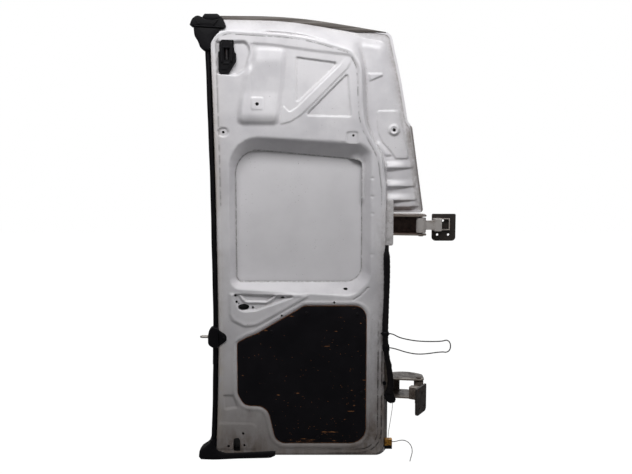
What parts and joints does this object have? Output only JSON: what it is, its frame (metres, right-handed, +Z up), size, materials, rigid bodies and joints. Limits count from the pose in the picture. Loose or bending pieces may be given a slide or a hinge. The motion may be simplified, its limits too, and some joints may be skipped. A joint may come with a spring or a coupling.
{
  "type": "van rear barn door",
  "caption": "Tall sheet-metal rear barn door leaf of a camper van, seen from inside, with pressed inner panel, trim board, edge seal and two pin hinges that let it swing wide.",
  "frame": {"origin": "middle of the upper hinge leaf's mating face, where it bolts to the body pillar", "axes": "+Z up along the hinge line, +X from the door towards the body, +Y out of the leaf's mating face; the inside of the door looks along -Y"},
  "size_m": [1.0859, 0.2575, 1.8613],
  "materials": {
    "white_paint": "gloss paint, dirty towards the bottom",
    "black_rubber": "matt",
    "black_board": "black faced hardboard, scuffed",
    "black_plastic": "moulded",
    "bare_steel": "worn",
    "rusty_steel": "rusted",
    "conduit_black": "taped loom",
    "wire_grey": "satin",
    "brass": "tarnished"
  },
  "bodies": {
    "upper_hinge_leaf": {"upper_leaf_plate": "rusty_steel", "upper_leaf_arm": "rusty_steel"},
    "door": {"outer_skin": "white_paint", "inner_panel": "white_paint", "trim_board": "black_board", "trim_clips": "black_plastic", "meeting_edge_seal": "black_rubber", "seal_sleeve": "black_rubber", "top_corner_boot": "black_rubber", "bottom_corner_boot": "black_rubber", "upper_latch_body": "black_plastic", "upper_latch_cover": "black_plastic", "upper_latch_bolt": "bare_steel", "striker_housing": "black_plastic", "striker_loop": "bare_steel", "upper_hinge_bracket": "rusty_steel", "lower_hinge_bracket": "rusty_steel", "upper_hinge_pin": "rusty_steel", "lower_hinge_pin": "rusty_steel", "cable_conduit": "conduit_black", "conduit_clamps": "conduit_black", "conduit_end_boot": "black_rubber", "wire_loop": "wire_grey", "lamp_feed_wire": "wire_grey", "wire_tail": "wire_grey", "connector_shell": "brass", "connector_base": "black_plastic"},
    "lower_hinge_leaf": {"lower_leaf_plate": "rusty_steel", "lower_leaf_arm": "rusty_steel"}
  },
  "joints": [
    {"name": "door_swing", "type": "hinge", "parent": "upper_hinge_leaf", "child": "door", "pos_m": [-0.098, -0.056, 0.014], "axis": [0, 0, 1], "range_deg": [0, 180]},
    {"name": "lower_leaf_swing", "type": "hinge", "parent": "door", "child": "lower_hinge_leaf", "pos_m": [-0.098, -0.056, -0.676], "axis": [0, 0, -1], "range_deg": [-120, 60]}
  ]
}
